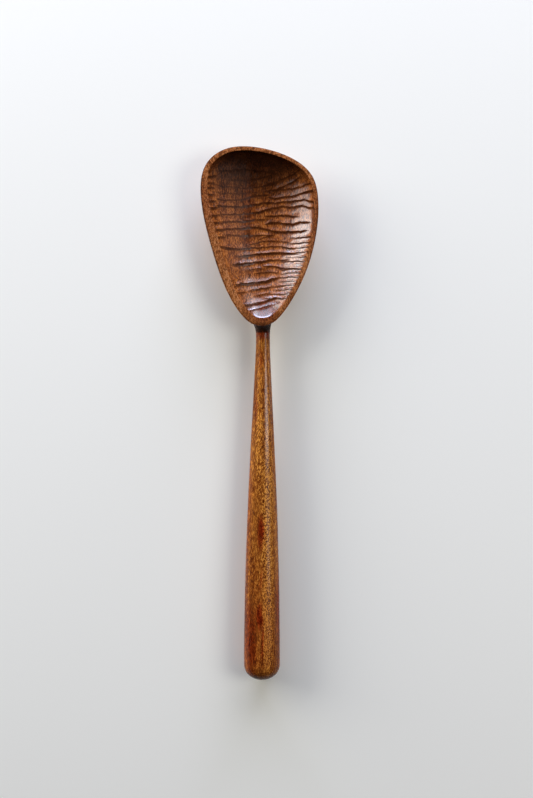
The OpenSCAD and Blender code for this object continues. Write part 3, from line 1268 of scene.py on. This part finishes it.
@dataclass
class CarvedBowl:
    """The bowl: its outer wall with the heel and the stub of the neck, the rim and the hollow.

    A pair that ends in x or y says where across or along the bowl an effect starts, and where it
    is whole.
    """

    form: SpoonForm
    columns: int = 784
    outside_rings: int = 36
    hollow_rings: int = 70
    rim_steps: int = 9
    corner_steps: int = 3
    stub_steps: int = 5
    fillet_steps: int = 60
    wall_steps: int = 360
    wall_crowding: float = 1.8
    hollow_steps: int = 420
    hollow_crowding: float = 1.7
    turn_samples: int = 4001
    fold_ends: tuple[Pair, Pair] = ((0.01, 0.13), (-0.06, 0.83))
    outer_edge: float = 0.5
    inner_edge: float = 0.3
    soft_edge: float = 0.5
    soft_x: Pair = (5.0, -25.0)
    soft_y: Pair = (80.0, 55.0)
    heel_rim: float = 0.6
    heel_y: Pair = (12.0, 3.0)
    sharp_heel: float = 0.65
    sharp_y: Pair = (14.0, 4.0)
    nick_reach: Pair = (-0.4, 0.35)
    # How strongly the side of each cut that faces the neck, away from the lamps beyond the tip, is painted
    # darker as shade.
    shadow_gain: float = 3.6
    # A darker line along the right rim's inner edge.
    inner_edge_dark: float = 0.7
    inner_dark_x: Pair = (4.0, 18.0)
    outer_shade_rings: int = 2
    # Where the painted shadow lies on the neck's top under the rim's heel.
    neck_shade_y: Pair = (-4.2, -2.2)
    neck_shade_x: Pair = (7.0, 5.0)
    neck_shade_rise: float = 2.0
    patch_share: float = 0.74
    patch_size_share: float = 0.24
    patch_edge: Pair = (1.0, 0.98)
    fillet_share: float = 0.6
    wall_pull: float = 0.3
    neck_pull: float = 1.1
    crown: float = 0.4
    crown_share: float = 0.55
    flat_start: float = 0.06
    rim_wear: float = 0.07
    wearing: Ripple = Ripple(17, 9.0)
    facets: float = 34.0
    facet_sway: Pair = (1.2, 5.0)
    facet_depth: float = 0.09
    facet_share: float = 0.45
    facet_ends: tuple[Pair, Pair] = ((0.12, 0.35), (1.0, 0.93))
    shaving: Ripple = Ripple(31, 26.0)

    def build(self, woods: Woods, groups: WoodGroups) -> bpy.types.Object:
        """Makes the bowl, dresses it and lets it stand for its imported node.

        Args:
            woods: The spoon's finishes.
            groups: The shared node groups.

        Returns:
            The finished piece.
        """
        form = self.form
        turns = self.spread_turns()
        edge = form.rim.at(turns)
        ahead = form.rim.at(turns + 0.5 / self.columns)[:, :2]
        behind = form.rim.at(turns - 0.5 / self.columns)[:, :2]
        run = ahead - behind
        across = np.stack([-run[:, 1], run[:, 0]], axis=-1)
        across /= np.linalg.norm(across, axis=1, keepdims=True)
        mesh = RingMesh("carved_bowl", form.home)
        last_outside = self.add_outside(mesh, turns)
        heel = self.heel_rim * eased(*self.heel_y, edge[:, 1:2])
        inner = edge[:, :2] + across * (edge[:, 2:3] + heel)
        hollow, dark, corner = self.cut_hollow(inner)
        self.add_rim(mesh, last_outside, edge, across, corner, hollow[0])
        for ring, shade in zip(hollow, dark):
            mesh.add(ring, Zone.HOLLOW, shadow_side=shade)
        start = form.on_neck(turns, form.seam_l, 0.0)[0]
        piece = mesh.build(start, None, inward=False)
        for finish in (woods.outside, woods.rim, woods.hollow):
            piece.data.materials.append(finish.build(groups))
        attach(piece, "root")
        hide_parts("bowl")
        return piece

    def spread_turns(self) -> np.ndarray:
        """Spreads the columns evenly along the rim, as many to the right of the tip as to the left.

        Returns:
            Their places round the rim.
        """
        fine = np.linspace(0.0, 1.0, self.turn_samples)
        edge = self.form.rim.at(fine)[:, :2]
        gaps = np.linalg.norm(np.diff(edge, axis=0), axis=1)
        run = np.concatenate([[0.0], np.cumsum(gaps)])
        tip, half = run[np.argmax(edge[:, 1])], self.columns // 2
        right = np.linspace(0.0, tip, half, endpoint=False)
        left = np.linspace(tip, run[-1], half, endpoint=False)
        return np.interp(np.concatenate([right, left]), run, fine)

    def under_at(self, disc: np.ndarray) -> np.ndarray:
        """The outer wall's points for places in a flat disc whose first axis points at the neck.

        Args:
            disc: Places in the disc, whose edge is the rim and whose centre the lowest point.

        Returns:
            Points x, y, z.
        """
        form = self.form
        turns = np.arctan2(disc[..., 1], disc[..., 0]) / math.tau
        reach = np.minimum(np.linalg.norm(disc, axis=-1), 1.0)
        turn = (1.0 - reach) * math.pi / 2.0
        return form.wall(form.rim.at(turns), form.lowest, form.under, form.under_d, turn)

    def disc_at(self, turns: np.ndarray, t: np.ndarray) -> np.ndarray:
        """Places in the disc on the lines from the rim to the edge of the neck's patch.

        Args:
            turns: The columns' places round the rim.
            t: 0 at the rim to 1 at the patch.

        Returns:
            One row of places for each t.
        """
        around = np.stack([np.cos(math.tau * turns), np.sin(math.tau * turns)], axis=-1)
        share = t[:, None, None]
        centre = np.array([self.patch_share, 0.0])
        return (1.0 - share * (1.0 - self.patch_size_share)) * around + share * centre

    def add_outside(self, mesh: RingMesh, turns: np.ndarray) -> np.ndarray:
        """Adds the rings from the seam over the fillet and up the outer wall.

        Args:
            mesh: The mesh to add to.
            turns: The columns' places round the rim.

        Returns:
            The last ring, just under the rounding of the rim's outer edge.
        """
        form = self.form
        angle = math.tau * turns
        stub_runs = np.linspace(form.seam_l, self.fillet_share * form.seam_l, self.stub_steps)
        stub = [form.on_neck(angle, run, form.neck_r) for run in stub_runs]
        start, back = self.under_at(self.disc_at(turns, np.array(self.patch_edge)))
        end = stub[-1]
        span = np.linalg.norm(end - start, axis=1, keepdims=True)
        leave = start - back
        leave *= span * self.wall_pull / np.linalg.norm(leave, axis=1, keepdims=True)
        arrive = np.array([0.0, -math.cos(form.tilt), -math.sin(form.tilt)]) * span * self.neck_pull
        fillet_places = np.linspace(1.0, 0.0, self.fillet_steps)[1:-1]
        fillet = [swept(t, start, leave, end, arrive) for t in fillet_places]
        wall_places = np.linspace(1.0, 0.0, self.wall_steps) ** self.wall_crowding
        path = np.concatenate([stub, fillet, self.under_at(self.disc_at(turns, wall_places))])
        mesh.add(stub[0], Zone.OUTSIDE, shadow_side=0.0)
        none = np.zeros(len(turns))
        top = none + self.outer_edge + self.crown
        grid = respaced(path, none + form.seam_ring, top, self.outside_rings)
        grid = grid - grid_normals(grid) * self.shaved(grid, turns)[..., None]
        grid[..., 2] = np.maximum(grid[..., 2], 0.0)
        x, y, z = np.moveaxis(grid, -1, 0)
        # Painted shadow on the neck's top just under the rim's heel.
        neck_shade = eased(*self.neck_shade_y, y) * eased(*self.neck_shade_x, np.abs(x))
        neck_shade = neck_shade * eased(form.axis_z, form.axis_z + self.neck_shade_rise, z)
        for ring, shade in zip(grid, neck_shade):
            mesh.add(ring, Zone.OUTSIDE, shadow_side=shade)
        return grid[-1]

    def shaved(self, grid: np.ndarray, turns: np.ndarray) -> np.ndarray:
        """How much wood the knife's long flats take off the outer wall.

        Args:
            grid: The wall's points.
            turns: The columns' places round the rim.

        Returns:
            Depths in millimetres, fading out at the rim and at the seam.
        """
        height = np.linspace(0.0, 1.0, len(grid))[:, None]
        sway, rate = self.facet_sway
        flats = 0.5 + 0.5 * np.sin(math.tau * (turns * self.facets + sway * np.sin(height * rate)))
        swell = self.shaving.share(grid[..., 0], grid[..., 1] + grid[..., 2])
        low, high = self.facet_ends
        away = eased(*low, height) * eased(*high, height)
        return self.facet_depth * away * (self.facet_share * flats + (1.0 - self.facet_share) * swell)

    def on_hollow(self, plan: np.ndarray, inner: np.ndarray) -> np.ndarray:
        """The smooth hollow's points over places in the plan.

        Args:
            plan: Places x, y inside the rim.
            inner: The rim's inner edge, x and y.

        Returns:
            Points x, y, z.
        """
        form = self.form
        away, spokes = plan - form.deepest, inner - form.deepest
        angle = np.arctan2(away[..., 1], away[..., 0])
        around = np.arctan2(spokes[:, 1], spokes[:, 0])
        sides = [np.interp(angle, around, side, period=math.tau) for side in inner.T]
        edge = np.stack(sides, axis=-1)
        reach = np.linalg.norm(away, axis=-1) / np.linalg.norm(edge - form.deepest, axis=-1)
        turn = np.arccos(np.clip(reach, 0.0, 1.0))
        return form.wall(edge, form.deepest, form.hollow, form.hollow_d, turn)

    def cut_hollow(self, inner: np.ndarray) -> tuple[np.ndarray, np.ndarray, np.ndarray]:
        """The hollow with its tool marks, made of columns that run from the rim to a middle line.

        Args:
            inner: The rim's inner edge before the marks, x and y.

        Returns:
            The hollow's rings from under the rim to the middle line, how far each point lies on
            the shadow side of a ridge, and the rim's sharp inner corner moved by the marks.
        """
        form = self.form
        across_from = -np.arange(len(inner)) % len(inner)
        middle = (inner[:, 1] + inner[across_from, 1]) / 2.0
        share = (middle - middle.min()) / (middle.max() - middle.min())
        near, far = np.array(self.fold_ends) * [form.bowl_w, form.bowl_l]
        fold = near + (far - near) * share[:, None]
        way = (np.linspace(0.0, 1.0, self.hollow_steps) ** self.hollow_crowding)[:, None, None]
        path = self.on_hollow(inner * (1.0 - way) + fold * way, inner)
        smooth = respaced(path, self.edge_radius(inner), np.zeros(len(inner)), self.hollow_rings)
        normal = grid_normals(np.concatenate([path[:1], smooth]))[1:]
        normal[-1] = (0.0, 0.0, 1.0)
        marks = ToolMarks()
        hollow = smooth + normal * marks.height(smooth[..., 0], smooth[..., 1])[..., None]
        # Painted shade: the more a point turns to the neck, away from the lamps beyond the tip, the darker
        # it is painted.
        dark = (normal[..., 1] - grid_normals(hollow)[..., 1]) * self.shadow_gain
        dark[-1] = dark[-2]
        first = np.clip(marks.height(inner[:, 0], inner[:, 1]), *self.nick_reach)
        level = normal[0, :, :2]
        length = np.linalg.norm(level, axis=1, keepdims=True)
        moved = inner + level / length**2 * first[:, None]
        corner = np.concatenate([moved, np.full((len(inner), 1), form.rim_z)], axis=1)
        return hollow, np.clip(dark, 0.0, 1.0), corner

    def edge_radius(self, inner: np.ndarray) -> np.ndarray:
        """How far down the hollow's wall the rounding of the rim's inner edge reaches.

        Args:
            inner: The rim's inner edge, x and y.

        Returns:
            Distances in millimetres, most at the lower left and least at the heel.
        """
        left = eased(*self.soft_x, inner[:, 0]) * eased(*self.soft_y, inner[:, 1])
        sharp = 1.0 - self.sharp_heel * eased(*self.sharp_y, inner[:, 1])
        return (self.inner_edge + self.soft_edge * left) * sharp

    def add_rim(
        self,
        mesh: RingMesh,
        below: np.ndarray,
        edge: np.ndarray,
        across: np.ndarray,
        corner: np.ndarray,
        first_hollow: np.ndarray,
    ) -> None:
        """Adds the rim: a rounded outer edge, the worn flat and a rounded inner edge.

        Args:
            mesh: The mesh to add to.
            below: The last ring of the outer wall.
            edge: The rim's outer edge, with the rim's width.
            across: The directions square to the edge, inwards.
            corner: The rim's sharp inner corner.
            first_hollow: The first ring of the hollow.
        """
        form = self.form
        level = np.full((len(edge), 1), form.rim_z)
        outer_corner = np.concatenate([edge[:, :2], level], axis=1)
        radius = self.edge_radius(corner[:, :2])[:, None]
        inner_flat = np.concatenate([corner[:, :2] - across * radius, level], axis=1)
        flat = []
        for k in range(self.rim_steps + 1):
            share = self.flat_start + (1.0 - self.flat_start) * k / self.rim_steps
            ring = outer_corner * (1.0 - share) + inner_flat * share
            wear = self.wearing.share(ring[:, 0], ring[:, 1])
            ring[:, 2] -= self.rim_wear * wear * math.sin(math.pi * share)
            ring[:, 2] -= self.crown * max(1.0 - share / self.crown_share, 0.0) ** 2
            flat.append(ring)
        outer_corner[:, 2] -= self.crown
        # The rounded outer edge and the flat's outermost rings carry painted shade.
        for ring in bent(below, outer_corner, flat[0], self.corner_steps):
            mesh.add(ring, Zone.RIM, shadow_side=1.0)
        for k, ring in enumerate(flat):
            mesh.add(ring, Zone.RIM, shadow_side=max(1.0 - k / self.outer_shade_rings, 0.0))
        # A darker line along the right rim's inner edge.
        painted_shade = self.inner_edge_dark * eased(*self.inner_dark_x, corner[:, 0])
        for ring in bent(inner_flat, corner, first_hollow, self.corner_steps):
            mesh.add(ring, Zone.RIM, shadow_side=painted_shade)


@dataclass
class ShapedHandle:
    """The handle from the seam across the neck to its rounded end."""

    form: SpoonForm
    columns: int = 320
    taper_rings: int = 262
    butt_rings: int = 34
    butt_power: float = 2.4
    easing: float = 7.0
    flats: int = 9
    flat_depth: float = 0.05
    flat_twist: float = 0.35
    twist_length: float = 41.0
    swell_depth: float = 0.07
    swell_round: float = 9.0
    swelling: Ripple = Ripple(43, 38.0)
    smooth_run: Pair = (2.0, 40.0)

    def tapered(self, run: np.ndarray | float) -> np.ndarray:
        """How far past the straight neck a place lies, rounded where the taper begins."""
        past = run - self.form.neck_l
        return (past + np.sqrt(past**2 + self.easing**2)) / 2.0

    def radius_at(self, run: np.ndarray) -> np.ndarray:
        """The handle's radius before the hand-scraped unevenness.

        Args:
            run: Distances from the rim.

        Returns:
            Radii in millimetres.
        """
        form = self.form
        start = self.tapered(form.seam_l)
        t = (self.tapered(run) - start) / (self.tapered(form.belly_y) - start)
        grown = np.sin(math.pi / 2.0 * np.clip(t, 0.0, 1.0))
        return form.neck_r + (form.butt_r - form.neck_r) * grown

    def build(self, woods: Woods, groups: WoodGroups) -> bpy.types.Object:
        """Makes the handle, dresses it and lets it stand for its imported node.

        Args:
            woods: The spoon's finishes.
            groups: The shared node groups.

        Returns:
            The finished piece.
        """
        form = self.form
        angle = math.tau * np.arange(self.columns) / self.columns
        turn = np.linspace(0.0, math.pi / 2.0, self.butt_rings + 1)[:-1]
        taper = np.linspace(form.seam_l, form.belly_y, self.taper_rings)[:-1]
        taper = np.insert(taper, 1, form.seam_l + form.seam_ring)
        butt = form.belly_y + form.butt_l * np.sin(turn) ** (2.0 / self.butt_power)
        radius = np.concatenate([self.radius_at(taper), form.butt_r * np.cos(turn)])
        lowest = (-np.inf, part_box("handle")[0][1] / MM - form.home[1], 0.0)
        mesh = RingMesh("shaped_handle", form.home)
        for run, size in zip(np.concatenate([taper, butt]), radius):
            off = self.scraped(angle, run) * min(size / form.neck_r, 1.0)
            mesh.add(np.maximum(form.on_neck(angle, run, size - off), lowest))
        start, end = (form.on_neck(angle, run, 0.0)[0] for run in (form.seam_l, form.handle_l))
        piece = mesh.build(start, np.maximum(end, lowest), inward=True)
        piece.data.materials.append(bpy.data.materials[woods.outside.name])
        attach(piece, "root")
        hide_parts("handle")
        return piece

    def scraped(self, angle: np.ndarray, run: float) -> np.ndarray:
        """How much the scraper's long soft flats take off the round handle.

        Args:
            angle: Turns from the top, in radians.
            run: Distance from the rim.

        Returns:
            Depths in millimetres, 0 at the seam.
        """
        near, far = self.smooth_run
        away = eased(self.form.seam_l + near, self.form.seam_l + far, run)
        twist = self.flat_twist * math.sin(run / self.twist_length)
        flats = 0.5 + 0.5 * np.cos(self.flats * (angle + twist))
        swell = self.swelling.share(angle * self.swell_round, np.full_like(angle, run))
        return away * (self.flat_depth * flats + self.swell_depth * swell)


@dataclass
class Lamp:
    """A soft rectangular lamp that faces the spoon."""

    name: str
    bearing: float
    elevation: float
    distance: float
    size: Pair
    level: float
    colour: Colour

    def build(self, aim: Vector) -> bpy.types.Object:
        """Makes the lamp.

        Args:
            aim: The point that it faces.

        Returns:
            The lamp. Its level is its brightness seen directly.
        """
        around, up = math.radians(self.bearing), math.radians(self.elevation)
        way = Vector((math.cos(around) * math.cos(up), math.sin(around) * math.cos(up), math.sin(up)))
        data = bpy.data.lights.new(self.name, "AREA")
        data.shape = "RECTANGLE"
        data.size, data.size_y = self.size
        data.energy = self.level * math.pi * self.size[0] * self.size[1]
        data.color = self.colour
        lamp = bpy.data.objects.new(self.name, data)
        lamp.location = aim + way * self.distance
        lamp.rotation_euler = (-way).to_track_quat("-Z", "Y").to_euler()
        lamp.visible_camera = False
        bpy.context.scene.collection.objects.link(lamp)
        return lamp


@dataclass
class Studio:
    """The floor, the light and the camera."""

    form: SpoonForm
    floor_radius: float = 1.25
    floor_sides: int = 180
    floor_colour: Colour = (0.935, 0.915, 0.83)
    floor_roughness: float = 0.75
    floor_gloss: float = 0.2
    backdrop: Colour = (0.93, 0.93, 0.93)
    sky_level: float = 0.035
    lens: float = 50.35
    roll: float = 0.19
    camera_height: float = 0.6417
    left_of_centre: float = 3.75
    below_tip: float = 253.0
    pixels: tuple[int, int] = (533, 798)
    lamps: tuple[Lamp, ...] = (
        Lamp("window_lamp", 90.0, 25.0, 1.7, (1.9, 0.8), 3.2, (0.88, 0.96, 1.18)),
        Lamp("low_window_lamp", 90.0, 10.0, 1.7, (1.9, 0.5), 11.3, (0.84, 0.94, 1.34)),
        Lamp("left_lamp", 150.0, 20.0, 1.6, (1.16, 0.88), 6.3, (1.0, 1.0, 0.99)),
        Lamp("right_lamp", 3.0, 46.0, 1.6, (0.7, 0.7), 4.5, (1.0, 0.98, 0.94)),
        Lamp("low_right_lamp", 60.0, 30.0, 1.6, (0.8, 0.6), 1.9, (1.0, 1.0, 0.98)),
    )

    def build(self) -> None:
        """Makes everything that isn't part of the spoon."""
        self.build_floor()
        self.build_world()
        aim = Vector((0.0, 0.0, self.form.rim_z * MM / 2.0))
        for lamp in self.lamps:
            lamp.build(aim)
        self.build_camera()
        bpy.context.scene.view_settings.view_transform = "Standard"

    def build_floor(self) -> None:
        """Makes the plain pale floor."""
        mesh = bpy.data.meshes.new("pale_floor")
        turns = [math.tau * side / self.floor_sides for side in range(self.floor_sides)]
        ring = [Vector((math.cos(turn), math.sin(turn), 0.0)) * self.floor_radius for turn in turns]
        mesh.from_pydata(ring, [], [range(self.floor_sides)])
        floor = bpy.data.objects.new("pale_floor", mesh)
        bpy.context.scene.collection.objects.link(floor)
        material = bpy.data.materials.new("pale_floor")
        material.use_nodes = True
        shader = material.node_tree.nodes["Principled BSDF"]
        shader.inputs["Base Color"].default_value = (*self.floor_colour, 1.0)
        shader.inputs["Roughness"].default_value = self.floor_roughness
        shader.inputs["Specular IOR Level"].default_value = self.floor_gloss
        mesh.materials.append(material)

    def build_world(self) -> None:
        """Makes a plain sky that gives little light and looks pale to the camera."""
        world = bpy.data.worlds.new("plain_sky")
        world.use_nodes = True
        tree = world.node_tree
        tree.nodes.clear()
        w = Wiring(tree)
        seen = w.put("LightPath").outputs["Is Camera Ray"]
        dim = w.put("Background", Color=(1.0, 1.0, 1.0, 1.0), Strength=self.sky_level)
        pale = w.put("Background", Color=(*self.backdrop, 1.0), Strength=1.0)
        mixed = w.filled("MixShader", {}, seen, dim.outputs[0], pale.outputs[0])
        w.put("OutputWorld", Surface=mixed.outputs[0])
        bpy.context.scene.world = world

    def build_camera(self) -> None:
        """Sets the camera straight above the spoon, as in the photograph."""
        form = self.form
        camera = bpy.data.cameras.new("camera")
        camera.lens = self.lens
        per_pixel = camera.sensor_width / self.lens / max(self.pixels)
        rim_scale = per_pixel * (self.camera_height - form.rim_z * MM)
        handle_scale = per_pixel * (self.camera_height - form.axis_z * MM)
        tip_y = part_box("bowl")[1][1]
        seat = bpy.data.objects.new("camera", camera)
        seat.location = (
            form.home[0] * MM + self.left_of_centre * handle_scale,
            tip_y - self.below_tip * rim_scale,
            self.camera_height,
        )
        seat.rotation_euler[2] = math.radians(self.roll)
        bpy.context.scene.collection.objects.link(seat)
        bpy.context.scene.camera = seat


def main() -> None:
    """Builds the spoon and the studio, and notes the visual model's size."""
    logging.basicConfig(level=logging.INFO, format="%(message)s")
    form = SpoonForm()
    groups = WoodGroups()
    woods = Woods()
    for part in (CarvedBowl(form), ShapedHandle(form)):
        piece = part.build(woods, groups)
        LOG.info("%s: %d points, %d faces", piece.name, len(piece.data.vertices), len(piece.data.polygons))
    Studio(form).build()
    LOG.info("studio: floor, camera and lamps")


if __name__ == "__main__":
    main()
